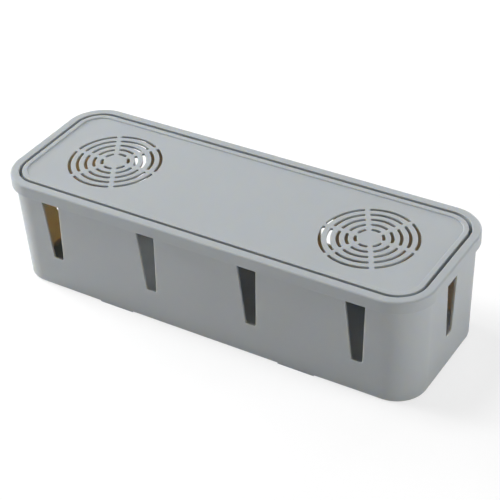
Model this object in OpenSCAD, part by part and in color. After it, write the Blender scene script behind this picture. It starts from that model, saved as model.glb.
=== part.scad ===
// Cable management box: a drafted tray with cord notches and a lift-off lid with two round vents.
// Millimetres. +X runs along the box, -Y is its front, +Z is up.
// The origin is the centre of the footprint, on the surface that the box stands on.

/* [Lid] */
// Outside length of the lid
lid_l = 320; // [300:1:360]
// Outside width of the lid
lid_w = 112; // [106:1:130]
// Outside corner radius of the lid, seen from above
lid_corner_r = 26.4; // [22:0.2:32]
// Thickness of the rim's top and of the panel
lid_t = 1.8; // [1.4:0.1:2.4]
// Thickness of the skirt that hangs outside the box wall
skirt_t = 1.8; // [1.4:0.1:2.4]
// Height of the skirt, from its lower edge to the top of the rim
skirt_h = 9; // [8:0.5:12]
// Radius along the rim's top outer edge
rim_edge_r = 1.4; // [0.8:0.1:1.6]
// Width of the groove between the rim and the bead
groove_w = 2.3; // [2:0.1:4]
// Depth of the groove below the rim
groove_d = 6; // [5:0.5:7]
// Thickness of the groove's outer wall, which plugs into the box
plug_t = 1.2; // [1:0.1:1.8]
// Thickness of the groove's inner wall, which carries the panel
bead_wall_t = 1.4; // [1.2:0.1:1.8]
// Thickness of the groove's floor
groove_floor_t = 1.5; // [1.2:0.1:2]
// Width of the raised bead round the panel
bead_w = 3.4; // [2.6:0.1:4]
// Drop from the rim to the top of the bead
bead_drop = 0.1; // [0:0.1:0.5]
// Drop from the rim to the panel
panel_drop = 1.1; // [1:0.1:2.5]

/* [Vents] */
// Distance of each vent's centre from the lid's end
vent_inset = 61.3; // [58:0.1:70]
// Radius of the middle of the first ring of slots
vent_r1 = 9.15; // [8:0.05:10]
// Distance from one ring of slots to the next
ring_pitch = 5.64; // [5:0.02:6]
// Number of rings of slots
rings = 5; // [3:1:5]
// Width of each slot
slot_w = 2.25; // [1.6:0.05:2.8]
// Number of spokes that bridge the slots
spokes = 6; // [4:1:8]
// Width of each spoke, between the round ends of the slots
spoke_w = 2.8; // [1.8:0.1:3.5]

/* [Box] */
// Height of the box wall, from the underside of its base to its top edge
box_h = 80.4; // [70:0.1:110]
// Thickness of the wall
wall_t = 1.8; // [1.5:0.1:2.2]
// Thickness of the base
base_t = 1.6; // [1.4:0.1:3]
// Draft of the wall, in degrees from upright
draft = 1.9; // [1:0.1:2.5]
// Radius along the outside of the base
base_edge_r = 0.8; // [0.6:0.1:1.5]
// Radius between the wall and the base, inside the box
base_inner_r = 2.5; // [1.5:0.1:4]

/* [Cord notches] */
// Number of notches in each long wall
notches = 4; // [2:1:4]
// Distance of the outermost notch from the box's end, measured at the wall's top
notch_inset = 40.85; // [36:0.05:50]
// Width of a notch at the wall's top edge
notch_top_w = 15.2; // [12:0.1:18]
// Width of a notch at its sill
notch_sill_w = 8.2; // [6:0.1:10]
// Height of the sills above the underside of the base
sill_h = 24.9; // [20:0.1:35]
// Corner radius at the sill
sill_r = 1.8; // [1:0.1:2.5]

/* [Feet] */
// Height of the feet under the base
foot_h = 0.9; // [0.6:0.1:3]
// Length of a foot, along the long wall
foot_l = 27; // [15:1:40]
// Width of a foot, in from the long wall
foot_w = 10; // [6:1:16]
// Distance of a foot's middle from the centre of the box
foot_x = 71.1; // [55:0.1:90]

/* [Fit] */
// Gap between the wall's top edge and the lid that rests on it
seat_gap = 0.2; // [0.1:0.05:0.4]
// Gap between the lid's plug and the inside of the wall
plug_gap = 0.3; // [0.2:0.05:0.5]
// Gap between the outside of the wall and the lid's skirt
skirt_gap = 0.85; // [0.4:0.05:1.5]

/* [Hidden] */
$fn = 96;
plastic = "#a9afb3";
// How far a cut runs past the faces that it opens
through = 2;

// Every upright section is drawn once as a profile and swept round one rounded rectangle.
// A profile's x is the distance out from the rectangle through the four corner centres.
corner_x = lid_l / 2 - lid_corner_r;
corner_y = lid_w / 2 - lid_corner_r;

// Stations across the lid, from the outside in
skirt_in = lid_corner_r - skirt_t;
wall_out = skirt_in - skirt_gap;
wall_in = wall_out - wall_t;
plug_out = wall_in - plug_gap;
plug_in = plug_out - plug_t;
groove_in = plug_in - groove_w;
bead_in = groove_in - bead_w;
channel_in = groove_in - bead_wall_t;

// Heights
base_z = foot_h;
wall_top = base_z + box_h;
rim_top = wall_top + seat_gap + lid_t;
groove_z = rim_top - groove_d;
channel_z = groove_z - groove_floor_t;
bead_top = rim_top - bead_drop;
panel_top = rim_top - panel_drop;
panel_under = panel_top - lid_t;

// Small radii of the lid's edges
rim_inner_r = 0.4;
bead_edge_r = 0.4;
skirt_lip_r = 0.6;
wall_edge_r = 0.4;

// The bead's inner side falls to the panel in two radii that meet
bead_rise = panel_drop - bead_drop;
bead_side_r = 0.6 * bead_rise;
bead_foot_r = bead_rise - bead_side_r;

// Radius of a slot's round end, a little over half its width
slot_end_r = 0.6 * slot_w;

// Radius of the first slot ring's middle, plus a whole number of pitches
function ring_r(i) = vent_r1 + i * ring_pitch;

// How far the drafted wall leans in at a depth below its top edge
function lean(depth) = depth * tan(draft);

// A rectangle between two corners, in a profile
module bar(x0, z0, x1, z1) {
    translate([x0, z0]) square([x1 - x0, z1 - z0]);
}

// A rectangle whose two upper corners are rounded, left by r_left and right by r_right
module round_top_bar(x0, z0, x1, z1, r_left, r_right) {
    drop = max(r_left, r_right);
    bar(x0, z0, x1, z1 - drop);
    bar(x0 + r_left, z0, x1 - r_right, z1);
    translate([x0 + r_left, z1 - r_left]) circle(r_left);
    translate([x1 - r_right, z1 - r_right]) circle(r_right);
    bar(x0, z0, x0 + r_left, z1 - r_left);
    bar(x1 - r_right, z0, x1, z1 - r_right);
}

// A concave fillet that fills the corner at (x, z), reaching r to the right and r up
module fillet(x, z, r) {
    difference() {
        bar(x, z, x + r, z + r);
        translate([x + r, z + r]) circle(r);
    }
}

// Sweep the profile given as children once round the rounded rectangle
module sweep() {
    for (sx = [0, 1], sy = [0, 1])
        mirror([sx, 0, 0])
            mirror([0, sy, 0])
                translate([corner_x, corner_y, 0])
                    rotate_extrude(angle = 90) children();
    for (s = [0, 1])
        mirror([s, 0, 0])
            translate([corner_x, corner_y, 0])
                rotate([90, 0, 0])
                    linear_extrude(2 * corner_y) children();
    for (s = [0, 1])
        mirror([0, s, 0])
            translate([-corner_x, corner_y, 0])
                rotate([90, 0, 90])
                    linear_extrude(2 * corner_x) children();
}

// The plate that closes the middle of a swept shape
module middle_plate(z0, z1) {
    translate([-corner_x, -corner_y, z0]) cube([2 * corner_x, 2 * corner_y, z1 - z0]);
}

// Section of the box: base, drafted wall, and the radii where they meet
module wall_profile() {
    foot_u = wall_out - lean(box_h);
    // Centre of the outside radius, which touches the underside and the leaning wall
    out_u = foot_u + base_edge_r * (tan(draft) - 1 / cos(draft));
    inner_depth = box_h - base_t;
    floor_z = base_z + base_t;
    // Centre of the inside radius, which touches the floor and the inner face
    in_u = wall_in - lean(inner_depth) + base_inner_r * (tan(draft) - 1 / cos(draft));
    polygon([
        [0, base_z],
        [out_u, base_z],
        [out_u + base_edge_r * cos(draft), base_z + base_edge_r * (1 - sin(draft))],
        [wall_out - lean(wall_edge_r), wall_top - wall_edge_r],
        [wall_out - lean(wall_edge_r) - wall_edge_r, wall_top],
        [wall_in + wall_edge_r, wall_top],
        [wall_in, wall_top - wall_edge_r],
        [wall_in - lean(inner_depth), floor_z],
        [0, floor_z]
    ]);
    translate([out_u, base_z + base_edge_r]) circle(base_edge_r);
    difference() {
        polygon([
            [in_u, floor_z],
            [wall_in - lean(inner_depth), floor_z],
            [in_u + base_inner_r * cos(draft), floor_z + base_inner_r * (1 - sin(draft))]
        ]);
        translate([in_u, floor_z + base_inner_r]) circle(base_inner_r);
    }
}

// Outline of a cord notch, open at the top, with its sill at z = 0
module notch_outline() {
    depth = box_h - sill_h;
    side = atan((notch_top_w - notch_sill_w) / 2 / depth);
    // Centre of the corner radius, which touches the sill and the leaning side
    centre_x = notch_sill_w / 2 + sill_r * (tan(side) - 1 / cos(side));
    touch = [centre_x + sill_r * cos(side), sill_r * (1 - sin(side))];
    top = [notch_top_w / 2 + through * tan(side), depth + through];
    polygon([
        [-centre_x, 0],
        [centre_x, 0],
        touch,
        top,
        [-top[0], top[1]],
        [-touch[0], touch[1]]
    ]);
    for (s = [-1, 1])
        translate([s * centre_x, sill_r]) circle(sill_r);
}

// All the notches, cut straight through the walls
module notch_cuts() {
    reach_y = lid_w / 2 - (lid_corner_r - wall_out);
    first_x = lid_l / 2 - (lid_corner_r - wall_out) - notch_inset;
    pitch = 2 * first_x / (notches - 1);
    for (i = [0:notches - 1])
        translate([-first_x + i * pitch, reach_y + through, base_z + sill_h])
            rotate([90, 0, 0])
                linear_extrude(2 * (reach_y + through)) notch_outline();
    reach_x = lid_l / 2 - (lid_corner_r - wall_out);
    translate([-reach_x - through, 0, base_z + sill_h])
        rotate([90, 0, 90])
            linear_extrude(2 * (reach_x + through)) notch_outline();
}

// Four feet moulded under the base, flush with the long walls
module feet() {
    edge_y = corner_y + wall_out - lean(box_h);
    for (sx = [-1, 1], sy = [0, 1])
        mirror([0, sy, 0])
            translate([sx * foot_x - foot_l / 2, edge_y - foot_w, 0])
                rotate([90, 0, 90])
                    linear_extrude(foot_l) foot_profile();
}

// Section of a foot: its outer face carries on the lean of the wall
module foot_profile() {
    polygon([
        [0, 0],
        [foot_w - lean(foot_h), 0],
        [foot_w + lean(base_edge_r), foot_h + base_edge_r],
        [0, foot_h + base_edge_r]
    ]);
}

// Section of the lid: panel edge, bead, groove, plug, rim and skirt
module lid_profile() {
    // Panel and bead
    bar(0, panel_under, channel_in, panel_top);
    round_top_bar(bead_in, panel_under, groove_in, bead_top, bead_side_r, bead_edge_r);
    mirror([1, 0]) fillet(-bead_in, panel_top, bead_foot_r);
    // Groove walls and floor
    bar(channel_in, channel_z, groove_in, panel_top);
    polygon([
        [channel_in, channel_z],
        [plug_out - lean(rim_top - channel_z), channel_z],
        [plug_out - lean(rim_top - groove_z), groove_z],
        [channel_in, groove_z]
    ]);
    polygon([
        [plug_in - lean(groove_d - lid_t), groove_z],
        [plug_out - lean(rim_top - groove_z), groove_z],
        [plug_out, rim_top - lid_t],
        [plug_in, rim_top - lid_t]
    ]);
    // Rim and skirt
    round_top_bar(plug_in, rim_top - lid_t, lid_corner_r, rim_top, rim_inner_r, rim_edge_r);
    bar(skirt_in, rim_top - skirt_h + skirt_lip_r, lid_corner_r, rim_top - lid_t);
    bar(skirt_in, rim_top - skirt_h, lid_corner_r - skirt_lip_r, rim_top - lid_t);
    translate([lid_corner_r - skirt_lip_r, rim_top - skirt_h + skirt_lip_r]) circle(skirt_lip_r);
}

// A slot between two spokes: an arc at radius r with round ends
module slot(r) {
    // Angle from the middle of the slot to the centre of its round end
    half = 180 / spokes - asin((spoke_w / 2 + slot_end_r) / r);
    side = (r + slot_w) / cos(half);
    intersection() {
        difference() {
            circle(r + slot_w / 2);
            circle(r - slot_w / 2);
        }
        union() {
            polygon([[0, 0], [side * cos(half), -side * sin(half)], [side * cos(half), side * sin(half)]]);
            for (s = [-1, 1])
                rotate(s * half)
                    translate([r, 0]) circle(slot_end_r);
        }
    }
}

// One vent's slots, in rings round its closed hub
module vent_slots() {
    for (i = [0:rings - 1], j = [0:spokes - 1])
        rotate((j + 0.5) * 360 / spokes) slot(ring_r(i));
}

module box_body() {
    color(plastic)
        difference() {
            union() {
                sweep() wall_profile();
                middle_plate(base_z, base_z + base_t);
                feet();
            }
            notch_cuts();
        }
}

module lid() {
    color(plastic)
        difference() {
            union() {
                sweep() lid_profile();
                middle_plate(panel_under, panel_top);
            }
            for (s = [-1, 1])
                translate([s * (lid_l / 2 - vent_inset), 0, panel_under - through])
                    linear_extrude(lid_t + 2 * through) vent_slots();
        }
}

box_body();
lid();
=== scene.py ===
"""Dresses the cable management box: a moulded tray with cord notches, and a lift-off lid with two vents."""

import math

import bmesh
import bpy
from mathutils import Matrix, Vector


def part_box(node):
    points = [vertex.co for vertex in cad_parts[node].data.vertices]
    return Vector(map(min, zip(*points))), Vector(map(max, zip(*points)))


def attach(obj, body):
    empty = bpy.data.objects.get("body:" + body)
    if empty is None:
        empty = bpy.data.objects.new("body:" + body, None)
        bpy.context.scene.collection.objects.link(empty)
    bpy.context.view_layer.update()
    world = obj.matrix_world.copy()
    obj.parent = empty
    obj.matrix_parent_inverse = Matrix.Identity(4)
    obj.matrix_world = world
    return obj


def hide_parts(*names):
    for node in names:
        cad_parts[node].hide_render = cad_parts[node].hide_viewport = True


bl_info = {
    "name": "Cable management box",
    "version": (1, 0, 0),
    "blender": (4, 5, 0),
    "location": "3D View > Sidebar > Cable box",
    "description": "Models the moulded tray and the vented lid around the packed frame",
    "category": "Object",
}

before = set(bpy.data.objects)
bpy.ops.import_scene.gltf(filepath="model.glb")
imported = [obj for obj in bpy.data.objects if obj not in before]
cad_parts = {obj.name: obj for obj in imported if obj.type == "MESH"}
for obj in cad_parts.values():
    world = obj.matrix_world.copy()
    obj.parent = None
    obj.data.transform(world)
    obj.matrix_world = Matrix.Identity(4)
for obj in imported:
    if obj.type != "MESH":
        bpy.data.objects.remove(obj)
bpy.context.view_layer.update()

MM = 0.001
# A radius is drawn with a facet for about each of these, and with three at least
FACET = 0.25 * MM
# Out from the corner centres, where a swept section begins; the middle is closed afterwards
SWEEP_START = 6 * MM
TRAY_LOW, TRAY_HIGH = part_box("box_body")
LID_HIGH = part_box("lid")[1]


# ---------------------------------------------------------------- sizes and looks


def length(name, description, mm, **limits):
    """A size property, given in millimetres and kept in metres."""
    return bpy.props.FloatProperty(
        name=name, description=description, default=mm * MM, unit="LENGTH", precision=5, **limits
    )


class LidSizes(bpy.types.PropertyGroup):
    """The lid's section, from the panel in the middle to the skirt outside"""

    corner_r: length("Corner radius", "Outside corner radius, seen from above", 26.4)
    skin: length("Skin", "Thickness of the panel and of the rim's top", 1.8)
    skirt: length("Skirt", "Thickness of the skirt outside the tray's wall", 1.8)
    skirt_h: length("Skirt height", "From the skirt's lower edge to the top of the rim", 9)
    rim_edge_r: length("Rim radius", "Radius along the rim's top outer edge", 1.4)
    skirt_edge_r: length("Skirt radius", "Radius along the skirt's lower outer edge", 0.6)
    groove_w: length("Groove width", "Gap between the rim and the bead", 2.3)
    groove_d: length("Groove depth", "Depth of the groove below the rim", 6)
    groove_floor: length("Groove floor", "Thickness of the groove's floor", 1.5)
    groove_r: length("Groove radius", "Radius along the groove's edges and floor", 0.4)
    plug: length("Plug wall", "Thickness of the groove's outer wall, which plugs into the tray", 1.2)
    bead_wall: length("Bead wall", "Thickness of the groove's inner wall", 1.4)
    bead_w: length("Bead width", "Width of the raised bead round the panel", 3.4)
    bead_drop: length("Bead drop", "From the rim down to the bead", 0.1)
    panel_drop: length("Panel drop", "From the rim down to the panel", 1.1)
    under_r: length("Underside radius", "Radius along the edges under the lid", 0.3)
    channel_r: length("Channel radius", "Radius between the channel and the panel's underside", 0.5)
    plug_gap: length("Plug gap", "Gap between the plug and the inside of the wall", 0.3)
    skirt_gap: length("Skirt gap", "Gap between the skirt and the outside of the wall", 0.85)


class VentSizes(bpy.types.PropertyGroup):
    """A round vent: rings of arc-shaped slots with spokes between them"""

    inset: length("Inset", "From the vent's centre to the lid's end", 61.3)
    first_r: length("First ring", "Radius of the middle of the first ring of slots", 9.15)
    pitch: length("Pitch", "From one ring of slots to the next", 5.64)
    slot_w: length("Slot width", "Width of each slot", 2.25)
    spoke_w: length("Spoke width", "Width of each spoke, between the round ends of the slots", 2.8)
    edge_r: length("Edge radius", "Rounding of the slots' edges", 0.3)
    rings: bpy.props.IntProperty(name="Rings", description="Rings of slots in a vent", default=5)
    spokes: bpy.props.IntProperty(name="Spokes", description="Spokes that bridge the slots", default=6)


class TraySizes(bpy.types.PropertyGroup):
    """The tray's shell, feet and cord notches"""

    wall: length("Wall", "Thickness of the wall", 1.8)
    base: length("Base", "Thickness of the base", 1.6)
    foot_h: length("Foot height", "Height of the feet under the base", 0.9)
    foot_l: length("Foot length", "Length of a foot along the long wall", 27)
    foot_w: length("Foot width", "Width of a foot, in from the long wall", 10)
    foot_x: length("Foot place", "From the tray's centre to a foot's middle", 71.1)
    base_edge_r: length("Base edge", "Radius along the outside of the base", 0.8)
    base_inner_r: length("Floor radius", "Radius between the wall and the floor", 2.5)
    notch_inset: length("Notch inset", "From the outermost notch to the tray's end", 40.85)
    notch_top: length("Notch top", "Width of a notch at the wall's top", 15.2)
    notch_sill: length("Notch sill", "Width of a notch at its sill", 8.2)
    sill_h: length("Sill height", "Height of the sills above the underside of the base", 24.9)
    sill_r: length("Sill radius", "Corner radius at the sill", 1.8)
    edge_r: length("Edge radius", "Rounding of the moulded edges", 0.7)
    draft: bpy.props.FloatProperty(
        name="Draft",
        description="Lean of the wall from upright",
        default=math.radians(1.9),
        unit="ROTATION",
    )
    notches: bpy.props.IntProperty(name="Notches", description="Notches in each long wall", default=4)


def linear(code):
    """sRGB hex to the linear colour that the shaders take."""
    channels = [int(code[i : i + 2], 16) / 255 for i in (1, 3, 5)]
    return [c / 12.92 if c <= 0.04045 else ((c + 0.055) / 1.055) ** 2.4 for c in channels]


def hex_colour(name, description, code):
    """A colour property, given as an sRGB hex code."""
    return bpy.props.FloatVectorProperty(
        name=name, description=description, default=linear(code), subtype="COLOR", size=3, min=0, max=1
    )


class PlasticLook(bpy.types.PropertyGroup):
    """Colour and skin of the moulded plastic"""

    colour: hex_colour("Colour", "Colour of the moulded plastic", "#B5BABD")
    cloud: hex_colour("Cloud", "The pigment where it is a shade thicker", "#B0B5B8")
    roughness: bpy.props.FloatProperty(
        name="Roughness",
        description="Roughness of the moulded skin",
        default=0.46,
        min=0,
        max=1,
        subtype="FACTOR",
    )
    grain: length("Grain", "Size of the mould's spark-eroded grain, drawn coarser than it is", 0.45)
    tray_depth: length("Tray depth", "How far light spreads inside the tray's plastic", 4.8)
    lid_depth: length("Lid depth", "The same for the lid, kept short for a crisp groove and bead", 1.0)


# ---------------------------------------------------------------- small modelling tools


def clear_selection():
    """Nothing selected and no mesh open, so that the next operator acts on what it adds."""
    if bpy.context.object and bpy.context.object.mode != "OBJECT":
        bpy.ops.object.mode_set(mode="OBJECT")
    bpy.ops.object.select_all(action="DESELECT")


def work_on(piece):
    """Only this piece is selected and active."""
    clear_selection()
    piece.select_set(True)
    bpy.context.view_layer.objects.active = piece


def pick(piece, kind, test):
    """In edit mode, selects only the vertices, edges or faces whose own points all pass the test."""
    bpy.ops.mesh.select_mode(type=kind)
    bpy.ops.mesh.select_all(action="DESELECT")
    mesh = bmesh.from_edit_mesh(piece.data)
    rows = {"VERT": mesh.verts, "EDGE": mesh.edges, "FACE": mesh.faces}[kind]
    for item in rows:
        points = [item.co] if kind == "VERT" else [v.co for v in item.verts]
        if all(test(p) for p in points):
            item.select_set(True)
    mesh.select_flush_mode()
    bmesh.update_edit_mesh(piece.data)


def carve(piece, tool):
    """Cuts the tool out of the piece, and deletes the tool."""
    work_on(piece)
    cut = piece.modifiers.new("Carve", "BOOLEAN")
    cut.operation = "DIFFERENCE"
    cut.object = tool
    cut.solver = "EXACT"
    bpy.ops.object.modifier_apply(modifier=cut.name)
    bpy.data.objects.remove(tool, do_unlink=True)


def outward(piece):
    """Merges doubles and points every face outwards."""
    work_on(piece)
    bpy.ops.object.mode_set(mode="EDIT")
    bpy.ops.mesh.select_all(action="SELECT")
    bpy.ops.mesh.remove_doubles(threshold=0.002 * MM)
    bpy.ops.mesh.normals_make_consistent(inside=False)
    bpy.ops.object.mode_set(mode="OBJECT")


def settle(piece):
    """Puts the piece's place into its mesh, with the object at the origin."""
    work_on(piece)
    bpy.ops.object.transform_apply(location=True, rotation=True, scale=True)


def tangent(before, point, after, radius):
    """How far from a corner its radius begins, along each side."""
    a, b = (Vector(before) - Vector(point)).normalized(), (Vector(after) - Vector(point)).normalized()
    return radius / math.tan(a.angle(b) / 2)


def draw_section(name, corner, corners_of_section):
    """A wire drawn point by point, as (out, up, radius) from a corner centre, with its radii put in."""
    clear_selection()
    centre = Vector((corner[0], corner[1], 0))
    spots = [centre + Vector((out, 0, up)) for out, up, radius in corners_of_section]
    bpy.ops.mesh.primitive_plane_add(size=MM, location=spots[0])
    section = bpy.context.object
    section.name = section.data.name = name
    settle(section)
    bpy.ops.object.mode_set(mode="EDIT")
    bpy.ops.mesh.select_mode(type="VERT")
    bpy.ops.mesh.select_all(action="SELECT")
    bpy.ops.mesh.merge(type="CENTER")
    for here, there in zip(spots, spots[1:]):
        bpy.ops.mesh.extrude_vertices_move(TRANSFORM_OT_translate={"value": there - here})
    for i in range(1, len(spots) - 1):
        radius = corners_of_section[i][2]
        if radius:
            near = 0.001 * MM
            pick(section, "VERT", lambda p: (p - spots[i]).length < near)
            bpy.ops.mesh.bevel(
                offset=tangent(spots[i - 1], spots[i], spots[i + 1], radius),
                segments=max(3, round(radius / FACET)),
                affect="VERTICES",
            )
    return section


def sweep_section(section, half_x, half_y, steps=26):
    """Carries the drawn section once round: a spin at each corner, and a run along each side."""
    bpy.ops.mesh.select_all(action="SELECT")
    corners = [(half_x, half_y), (-half_x, half_y), (-half_x, -half_y), (half_x, -half_y)]
    for i, (x, y) in enumerate(corners):
        bpy.ops.mesh.spin(steps=steps, angle=math.radians(-90), center=(x, y, 0), axis=(0, 0, 1))
        following = corners[(i + 1) % 4]
        run = (following[0] - x, following[1] - y, 0)
        bpy.ops.mesh.extrude_edges_move(TRANSFORM_OT_translate={"value": run})
    bpy.ops.mesh.select_all(action="SELECT")
    bpy.ops.mesh.remove_doubles(threshold=0.005 * MM)
    bpy.ops.object.mode_set(mode="OBJECT")


def close_middle(piece, half_x, half_y, heights):
    """Fills the middle of a swept shape with one face at each of its open rings."""
    work_on(piece)
    bpy.ops.object.mode_set(mode="EDIT")
    near = 0.01 * MM
    for height in heights:
        pick(
            piece,
            "EDGE",
            lambda p: abs(p.z - height) < near and abs(reach(p, half_x, half_y) - SWEEP_START) < near,
        )
        bpy.ops.mesh.edge_face_add()
    bpy.ops.object.mode_set(mode="OBJECT")
    outward(piece)


def reach(point, half_x, half_y):
    """Distance of a point from the rectangle through the corner centres."""
    return math.hypot(max(abs(point.x) - half_x, 0), max(abs(point.y) - half_y, 0))


def block(name, low, high):
    """A cube primitive sized to two corners."""
    clear_selection()
    low, high = Vector(low), Vector(high)
    bpy.ops.mesh.primitive_cube_add(size=1, location=(low + high) / 2, scale=high - low)
    made = bpy.context.object
    made.name = made.data.name = name
    settle(made)
    return made


def join(pieces, name):
    """Several tools as one."""
    clear_selection()
    for piece in pieces:
        piece.select_set(True)
    bpy.context.view_layer.objects.active = pieces[0]
    bpy.ops.object.join()
    pieces[0].name = pieces[0].data.name = name
    return pieces[0]


def copy_at(piece, shift=(0, 0, 0), turn=0.0):
    """A copy with its own mesh, turned about the vertical and then shifted."""
    made = piece.copy()
    made.data = piece.data.copy()
    bpy.context.collection.objects.link(made)
    made.data.transform(Matrix.Translation(shift) @ Matrix.Rotation(turn, 4, "Z"))
    return made


def smooth(piece):
    """Smooth shading that keeps the crisp edges, weighted so that flat faces stay flat."""
    crisp = math.radians(38)
    work_on(piece)
    bpy.ops.object.shade_smooth_by_angle(angle=crisp)
    weights = piece.modifiers.new("Flat faces", "WEIGHTED_NORMAL")
    weights.keep_sharp = True
    bpy.ops.object.modifier_apply(modifier=weights.name)


# ---------------------------------------------------------------- the plastic


def add_node(tree, kind, settings=None, **links):
    """Adds a node, sets its properties and inputs, and links sockets given as output sockets."""
    node = tree.nodes.new(kind)
    for key, value in (settings or {}).items():
        if key in node.inputs:
            node.inputs[key].default_value = value
        else:
            setattr(node, key, value)
    for key, socket in links.items():
        tree.links.new(socket, node.inputs[key.replace("_", " ")])
    return node


def moulded_plastic(name, look, depth):
    """Polypropylene moulded in a spark-eroded cavity: matt, slightly see-through, with a soft gloss."""
    cloud_size, gloss_size = 45 * MM, 14 * MM
    gloss_range, grain_depth = 0.04, 0.02 * MM
    made = bpy.data.materials.new(name)
    made.use_nodes = True
    tree = made.node_tree
    shader = tree.nodes["Principled BSDF"]
    shader.inputs["IOR"].default_value = 1.49
    shader.inputs["Subsurface Weight"].default_value = 1.0
    # Light that has gone through a wall comes out warm brown, as in the notches next to the corners
    shader.inputs["Subsurface Radius"].default_value = (1.0, 0.77, 0.47)
    shader.inputs["Subsurface Scale"].default_value = depth
    places = add_node(tree, "ShaderNodeTexCoord").outputs["Object"]
    # The pigment lies a shade unevenly, in clouds a few centimetres wide
    cloud = add_node(tree, "ShaderNodeTexNoise", {"Scale": 1 / cloud_size, "Detail": 2.0}, Vector=places)
    tint = add_node(tree, "ShaderNodeMix", {"data_type": "RGBA"})
    tint.inputs[6].default_value = (*look.colour, 1)
    tint.inputs[7].default_value = (*look.cloud, 1)
    tree.links.new(cloud.outputs["Fac"], tint.inputs[0])
    tree.links.new(tint.outputs[2], shader.inputs["Base Color"])
    # The skin's gloss varies where the melt cooled sooner or later
    gloss = add_node(tree, "ShaderNodeTexNoise", {"Scale": 1 / gloss_size, "Detail": 3.0}, Vector=places)
    spread = add_node(
        tree,
        "ShaderNodeMapRange",
        {"To Min": look.roughness - gloss_range, "To Max": look.roughness + gloss_range},
        Value=gloss.outputs["Fac"],
    )
    tree.links.new(spread.outputs["Result"], shader.inputs["Roughness"])
    # The mould's grain breaks the light up finely; it is drawn coarser than it is, so that it shows
    grain = add_node(tree, "ShaderNodeTexNoise", {"Scale": 1 / look.grain, "Detail": 2.0}, Vector=places)
    bump = add_node(
        tree, "ShaderNodeBump", {"Strength": 0.25, "Distance": grain_depth}, Height=grain.outputs["Fac"]
    )
    tree.links.new(bump.outputs["Normal"], shader.inputs["Normal"])
    return made


def finish_piece(piece, material, body, node):
    """Gives a finished piece its plastic and ties it to the frame."""
    piece.data.materials.clear()
    piece.data.materials.append(material)
    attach(piece, body)
    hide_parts(node)


# ---------------------------------------------------------------- stations shared by the tray and the lid


def stations(scene):
    """Distances out from the corner-centre rectangle that both mouldings share, and its half sides."""
    lid, tray = scene.lid_sizes, scene.tray_sizes
    out = {"skirt": lid.corner_r, "skirt_in": lid.corner_r - lid.skirt}
    out["wall"] = out["skirt_in"] - lid.skirt_gap
    out["wall_in"] = out["wall"] - tray.wall
    out["plug"] = out["wall_in"] - lid.plug_gap
    out["plug_in"] = out["plug"] - lid.plug
    out["groove_in"] = out["plug_in"] - lid.groove_w
    out["bead_in"] = out["groove_in"] - lid.bead_w
    out["channel_in"] = out["groove_in"] - lid.bead_wall
    half = (LID_HIGH.x - lid.corner_r, LID_HIGH.y - lid.corner_r)
    return out, half


# ---------------------------------------------------------------- tray


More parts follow.
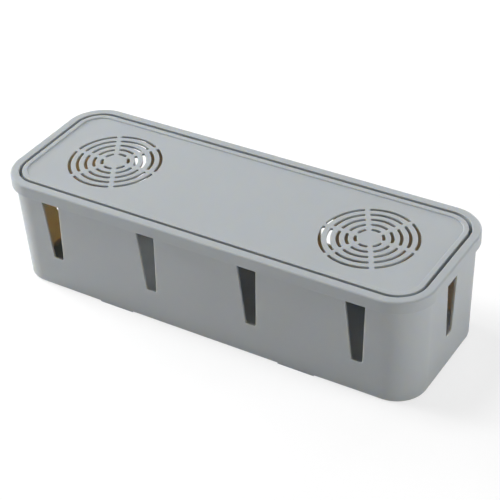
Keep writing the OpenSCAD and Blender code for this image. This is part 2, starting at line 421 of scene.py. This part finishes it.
class CABLEBOX_OT_tray(bpy.types.Operator):
    """Model the tray: a drafted, round-cornered shell with feet and cord notches"""

    bl_idname = "cablebox.tray"
    bl_label = "Moulded tray"

    def execute(self, context):
        sizes = context.scene.tray_sizes
        out, (half_x, half_y) = stations(context.scene)
        top = TRAY_HIGH.z
        floor_z = sizes.foot_h + sizes.base
        lean = math.tan(sizes.draft)
        section = [
            (SWEEP_START, floor_z, 0),
            (out["wall_in"] - lean * (top - floor_z), floor_z, sizes.base_inner_r),
            (out["wall_in"], top, 0),
            (out["wall"], top, 0),
            (out["wall"] - lean * top, 0, 0),
            (SWEEP_START, 0, 0),
        ]
        tray = draw_section("tray", (half_x, half_y), section)
        sweep_section(tray, half_x, half_y)
        close_middle(tray, half_x, half_y, (floor_z, 0))
        self.cut_feet(tray, sizes, half_y + out["wall"] - lean * top)
        self.round_base(tray, sizes, half_x, half_y, out["wall"] - lean * (top - sizes.foot_h))
        self.cut_notches(tray, sizes, half_x + out["wall"], half_y + out["wall"], top)
        self.round_edges(tray, sizes)
        outward(tray)
        smooth(tray)
        look = context.scene.plastic_look
        plastic = moulded_plastic("tray_polypropylene", look, look.tray_depth)
        finish_piece(tray, plastic, "box", "box_body")
        return {"FINISHED"}

    def cut_feet(self, tray, sizes, edge_y):
        """Takes the underside away round the feet, which stay flush with the long walls."""
        past = 20 * MM
        waste = block(
            "waste",
            (TRAY_LOW.x - past, TRAY_LOW.y - past, -past),
            (TRAY_HIGH.x + past, TRAY_HIGH.y + past, sizes.foot_h),
        )
        feet = []
        for side_x in (-1, 1):
            for side_y in (-1, 1):
                x = side_x * sizes.foot_x
                reach_y = (edge_y - sizes.foot_w, edge_y + 2 * past)
                inside, outside = sorted(side_y * y for y in reach_y)
                feet.append(
                    block(
                        "foot",
                        (x - sizes.foot_l / 2, inside, -2 * past),
                        (x + sizes.foot_l / 2, outside, 2 * sizes.foot_h),
                    )
                )
        carve(waste, join(feet, "feet"))
        carve(tray, waste)

    def round_base(self, tray, sizes, half_x, half_y, edge):
        """Rounds the outer edge of the base between the feet."""
        work_on(tray)
        bpy.ops.object.mode_set(mode="EDIT")
        near = 0.02 * MM
        pick(
            tray,
            "EDGE",
            lambda p: abs(p.z - sizes.foot_h) < near and abs(reach(p, half_x, half_y) - edge) < near,
        )
        bpy.ops.mesh.bevel(offset=sizes.base_edge_r, segments=4, affect="EDGES")
        bpy.ops.object.mode_set(mode="OBJECT")

    def notch_tool(self, sizes, depth, half_length):
        """A wedge as long as the tray, narrower at the sill, with its two lower edges rounded."""
        past = 2 * MM
        slope = (sizes.notch_top - sizes.notch_sill) / 2 / depth
        wide = sizes.notch_top / 2 + slope * past
        tool = block("notch", (-wide, -half_length, 0), (wide, half_length, depth + past))
        work_on(tool)
        bpy.ops.object.mode_set(mode="EDIT")
        near = 0.01 * MM
        pick(tool, "FACE", lambda p: abs(p.z) < near)
        bpy.ops.transform.resize(value=(sizes.notch_sill / 2 / wide, 1, 1), center_override=(0, 0, 0))
        pick(tool, "EDGE", lambda p: abs(p.z) < near)
        mesh = bmesh.from_edit_mesh(tool.data)
        for edge in mesh.edges:
            if edge.select and abs(edge.verts[0].co.y - edge.verts[1].co.y) < near:
                edge.select_set(False)
        bmesh.update_edit_mesh(tool.data)
        bpy.ops.mesh.bevel(offset=sizes.sill_r, segments=6, affect="EDGES")
        bpy.ops.object.mode_set(mode="OBJECT")
        return tool

    def cut_notches(self, tray, sizes, end_x, side_y, top):
        """Cuts the cord notches through both long walls, and one through each end wall."""
        sill = sizes.foot_h + sizes.sill_h
        depth = top - sill
        past = 5 * MM
        first_x = end_x - sizes.notch_inset
        pitch = 2 * first_x / (sizes.notches - 1)
        long_tool = self.notch_tool(sizes, depth, side_y + past)
        end_tool = self.notch_tool(sizes, depth, end_x + past)
        for i in range(sizes.notches):
            carve(tray, copy_at(long_tool, (i * pitch - first_x, 0, sill)))
        carve(tray, copy_at(end_tool, (0, 0, sill), math.radians(90)))
        for tool in (long_tool, end_tool):
            bpy.data.objects.remove(tool, do_unlink=True)

    def round_edges(self, tray, sizes):
        """Rounds every crisp edge that the mould leaves."""
        work_on(tray)
        edge = tray.modifiers.new("Moulded edges", "BEVEL")
        edge.width = sizes.edge_r
        edge.segments = 3
        edge.limit_method = "ANGLE"
        edge.angle_limit = math.radians(35)
        edge.use_clamp_overlap = True
        bpy.ops.object.modifier_apply(modifier=edge.name)


# ---------------------------------------------------------------- lid


class CABLEBOX_OT_lid(bpy.types.Operator):
    """Model the lid: panel, bead, groove, rim and skirt in one section, then the two vents"""

    bl_idname = "cablebox.lid"
    bl_label = "Vented lid"

    def execute(self, context):
        sizes = context.scene.lid_sizes
        out, (half_x, half_y) = stations(context.scene)
        lean = math.tan(context.scene.tray_sizes.draft)
        top = LID_HIGH.z
        panel = top - sizes.panel_drop
        under = panel - sizes.skin
        bead = top - sizes.bead_drop
        groove = top - sizes.groove_d
        channel = groove - sizes.groove_floor
        plate = top - sizes.skin
        # The bead's inner side is a foot and a crown that take up nearly all of its rise
        foot_r, crown_r = 0.4 * (bead - panel), 0.59 * (bead - panel)
        section = [
            (SWEEP_START, panel, 0),
            (out["bead_in"], panel, foot_r),
            (out["bead_in"], bead, crown_r),
            (out["groove_in"], bead, sizes.groove_r),
            (out["groove_in"], groove, sizes.groove_r),
            (out["plug_in"] - lean * (plate - groove), groove, sizes.groove_r),
            (out["plug_in"], top, sizes.groove_r),
            (out["skirt"], top, sizes.rim_edge_r),
            (out["skirt"], top - sizes.skirt_h, sizes.skirt_edge_r),
            (out["skirt_in"], top - sizes.skirt_h, sizes.under_r),
            (out["skirt_in"], plate, sizes.under_r),
            (out["plug"], plate, sizes.under_r),
            (out["plug"] - lean * (top - channel), channel, sizes.under_r),
            (out["channel_in"], channel, sizes.under_r),
            (out["channel_in"], under, sizes.channel_r),
            (SWEEP_START, under, 0),
        ]
        lid = draw_section("lid_shell", (half_x, half_y), section)
        sweep_section(lid, half_x, half_y)
        close_middle(lid, half_x, half_y, (panel, under))
        self.cut_vents(lid, context.scene.vent_sizes, panel, under)
        outward(lid)
        smooth(lid)
        look = context.scene.plastic_look
        plastic = moulded_plastic("lid_polypropylene", look, look.lid_depth)
        finish_piece(lid, plastic, "lid", "lid")
        return {"FINISHED"}

    def cut_vents(self, lid, sizes, panel, under):
        """Cuts both round vents through the panel, with tools that flare at the slots' rounded edges."""
        centre_x = LID_HIGH.x - sizes.inset
        slots = []
        for i in range(sizes.rings):
            slot = self.slot_tool(sizes, sizes.first_r + i * sizes.pitch, panel, under)
            for j in range(sizes.spokes):
                slots.append(copy_at(slot, turn=(j + 0.5) * math.tau / sizes.spokes))
            bpy.data.objects.remove(slot, do_unlink=True)
        vent = join(slots, "vent")
        for side in (-1, 1):
            carve(lid, copy_at(vent, (side * centre_x, 0, 0)))
        bpy.data.objects.remove(vent, do_unlink=True)
        work_on(lid)
        bpy.ops.object.mode_set(mode="EDIT")
        near = 0.01 * MM
        pick(lid, "FACE", lambda p: min(abs(p.z - panel), abs(p.z - under)) < near)
        bpy.ops.mesh.quads_convert_to_tris(quad_method="BEAUTY", ngon_method="BEAUTY")
        bpy.ops.object.mode_set(mode="OBJECT")

    def slot_tool(self, sizes, ring_r, panel, under):
        """An arc-shaped bar with round ends, centred on +X, that flares out to both faces of the panel."""
        end_angle = math.pi / sizes.spokes - math.asin((sizes.spoke_w + sizes.slot_w) / 2 / ring_r)
        past, proud = 0.12 * MM, 0.05 * MM
        wide = sizes.slot_w / 2 + sizes.edge_r + past
        start_r = ring_r + wide
        clear_selection()
        bpy.ops.mesh.primitive_plane_add(
            size=MM,
            location=(start_r * math.cos(end_angle), -start_r * math.sin(end_angle), panel + proud),
        )
        tool = bpy.context.object
        tool.name = tool.data.name = "slot"
        settle(tool)
        bpy.ops.object.mode_set(mode="EDIT")
        bpy.ops.mesh.select_mode(type="VERT")
        bpy.ops.mesh.select_all(action="SELECT")
        bpy.ops.mesh.merge(type="CENTER")
        arc_facet, end_facets = 1.2 * MM, 10
        arc_facets = max(8, round(2 * end_angle * ring_r / arc_facet))
        ends = [(ring_r * math.cos(a), ring_r * math.sin(a), 0) for a in (end_angle, -end_angle)]
        for turn, centre, count in (
            (2 * end_angle, (0, 0, 0), arc_facets),
            (math.pi, ends[0], end_facets),
            (-2 * end_angle, (0, 0, 0), arc_facets),
            (math.pi, ends[1], end_facets),
        ):
            bpy.ops.mesh.spin(steps=count, angle=-turn, center=centre, axis=(0, 0, 1))
        bpy.ops.mesh.select_all(action="SELECT")
        bpy.ops.mesh.remove_doubles(threshold=0.01 * MM)
        bpy.ops.mesh.edge_face_add()
        bpy.ops.mesh.duplicate()
        # Two facets stand for the rounded edge, and meet where it has turned by 45 degrees
        far, near = 0.71 * sizes.edge_r, 0.29 * sizes.edge_r
        for narrower, lower in ((past + far, proud + near), (near, far)):
            bpy.ops.mesh.inset(thickness=narrower)
            bpy.ops.transform.translate(value=(0, 0, -lower))
        middle = (panel + under) / 2
        down = (0, 0, middle - (panel - sizes.edge_r))
        bpy.ops.mesh.extrude_region_move(TRANSFORM_OT_translate={"value": down})
        bpy.ops.mesh.delete(type="ONLY_FACE")
        bpy.ops.mesh.select_all(action="SELECT")
        bpy.ops.mesh.duplicate()
        bpy.ops.transform.resize(value=(1, 1, -1), center_override=(0, 0, middle))
        bpy.ops.mesh.select_all(action="SELECT")
        bpy.ops.mesh.remove_doubles(threshold=0.01 * MM)
        bpy.ops.mesh.normals_make_consistent(inside=False)
        bpy.ops.object.mode_set(mode="OBJECT")
        return tool


# ---------------------------------------------------------------- stage


class CABLEBOX_OT_stage(bpy.types.Operator):
    """Set the pale floor, the soft studio light and the camera"""

    bl_idname = "cablebox.stage"
    bl_label = "Studio stage"

    def execute(self, context):
        scene = context.scene
        scene.view_settings.view_transform = "Standard"
        self.lay_floor()
        self.light_world(scene)
        # Sheen of the side boxes would whiten the lid, seen at a low angle against them
        self.hang_light("left_box", (-1, 0.05, 0.35), power=48, sheen=False)
        self.hang_light("overhead_box", (-0.35, -0.1, 0.9), power=11.2, distance=1.6, size=0.5)
        self.hang_light("right_box", (1, 0.05, 0.35), power=18.3, sheen=False)
        self.hang_light("back_box", (0, 1, 0.3), power=12)
        self.hang_light("front_box", (-0.3, -1, 0.2), power=2.6, sheen=False)
        self.place_camera(scene)
        return {"FINISHED"}

    def lay_floor(self):
        """A wide pale floor, white to the camera, that keeps the box's shadow."""
        glow, shaded = 0.7, 0.32
        clear_selection()
        bpy.ops.mesh.primitive_plane_add(size=12, location=(0, 0, 0))
        floor = bpy.context.object
        floor.name = floor.data.name = "floor"
        paper = bpy.data.materials.new("studio_paper")
        paper.use_nodes = True
        tree = paper.node_tree
        tree.nodes.clear()
        matt = add_node(tree, "ShaderNodeBsdfDiffuse", {"Color": (0.8, 0.8, 0.8, 1)})
        bright = add_node(tree, "ShaderNodeBsdfDiffuse", {"Color": (shaded, shaded, shaded, 1)})
        white = add_node(tree, "ShaderNodeEmission", {"Color": (1, 1, 1, 1), "Strength": glow})
        seen = add_node(tree, "ShaderNodeAddShader")
        tree.links.new(bright.outputs[0], seen.inputs[0])
        tree.links.new(white.outputs[0], seen.inputs[1])
        ray = add_node(tree, "ShaderNodeLightPath")
        either = add_node(tree, "ShaderNodeMixShader")
        tree.links.new(ray.outputs["Is Camera Ray"], either.inputs[0])
        tree.links.new(matt.outputs[0], either.inputs[1])
        tree.links.new(seen.outputs[0], either.inputs[2])
        end = add_node(tree, "ShaderNodeOutputMaterial")
        tree.links.new(either.outputs[0], end.inputs["Surface"])
        floor.data.materials.append(paper)

    def light_world(self, scene):
        """A soft white room, white behind the box and dimmer as a light."""
        as_light, behind = 0.05, 1.0
        world = bpy.data.worlds.new("white_room")
        scene.world = world
        world.use_nodes = True
        tree = world.node_tree
        sky = tree.nodes["Background"]
        sky.inputs["Color"].default_value = (1, 1, 1, 1)
        ray = add_node(tree, "ShaderNodeLightPath")
        level = add_node(
            tree,
            "ShaderNodeMapRange",
            {"To Min": as_light, "To Max": behind},
            Value=ray.outputs["Is Camera Ray"],
        )
        tree.links.new(level.outputs["Result"], sky.inputs["Strength"])

    def hang_light(self, name, direction, power, distance=1.9, size=1.2, sheen=True):
        """A square soft box that looks at the middle of the box from a direction."""
        middle = Vector((0, 0, 0.04))
        lamp = bpy.data.lights.new(name, "AREA")
        lamp.size = size
        lamp.energy = power
        holder = bpy.data.objects.new(name, lamp)
        bpy.context.collection.objects.link(holder)
        holder.visible_glossy = sheen
        direction = Vector(direction).normalized()
        holder.location = direction * distance + middle
        holder.rotation_euler = direction.to_track_quat("Z", "Y").to_euler()

    def place_camera(self, scene):
        """The photograph's viewpoint: from the front right, looking down, with a slight roll."""
        azimuth, elevation, roll = (math.radians(turn) for turn in (33.18, 35.63, -3.2))
        place, focal_mm, film_mm = (0.4637, -0.6967, 0.6391), 109.5, 36
        back = Vector(
            (
                math.sin(azimuth) * math.cos(elevation),
                -math.cos(azimuth) * math.cos(elevation),
                math.sin(elevation),
            )
        )
        right = Vector((0, 0, 1)).cross(back).normalized()
        up = back.cross(right)
        turned_right = math.cos(roll) * right + math.sin(roll) * up
        turned_up = -math.sin(roll) * right + math.cos(roll) * up
        lens = bpy.data.cameras.new("camera")
        lens.sensor_width = film_mm
        lens.lens = focal_mm
        camera = bpy.data.objects.new("camera", lens)
        bpy.context.collection.objects.link(camera)
        stand = Matrix((turned_right, turned_up, back)).transposed().to_4x4()
        stand.translation = place
        camera.matrix_world = stand
        scene.camera = camera


class CABLEBOX_PT_panel(bpy.types.Panel):
    """The steps, in order"""

    bl_idname = "CABLEBOX_PT_panel"
    bl_label = "Cable management box"
    bl_space_type = "VIEW_3D"
    bl_region_type = "UI"
    bl_category = "Cable box"

    def draw(self, context):
        for step in STEPS:
            self.layout.operator(step.bl_idname)


STEPS = (CABLEBOX_OT_stage, CABLEBOX_OT_tray, CABLEBOX_OT_lid)
GROUPS = {
    "lid_sizes": LidSizes,
    "vent_sizes": VentSizes,
    "tray_sizes": TraySizes,
    "plastic_look": PlasticLook,
}


def register():
    for made in (*GROUPS.values(), *STEPS, CABLEBOX_PT_panel):
        bpy.utils.register_class(made)
    for name, group in GROUPS.items():
        setattr(bpy.types.Scene, name, bpy.props.PointerProperty(type=group))


def unregister():
    for name in GROUPS:
        delattr(bpy.types.Scene, name)
    for made in reversed((*GROUPS.values(), *STEPS, CABLEBOX_PT_panel)):
        bpy.utils.unregister_class(made)


def main():
    register()
    bpy.ops.cablebox.stage()
    bpy.ops.cablebox.tray()
    bpy.ops.cablebox.lid()


if __name__ == "__main__":
    main()
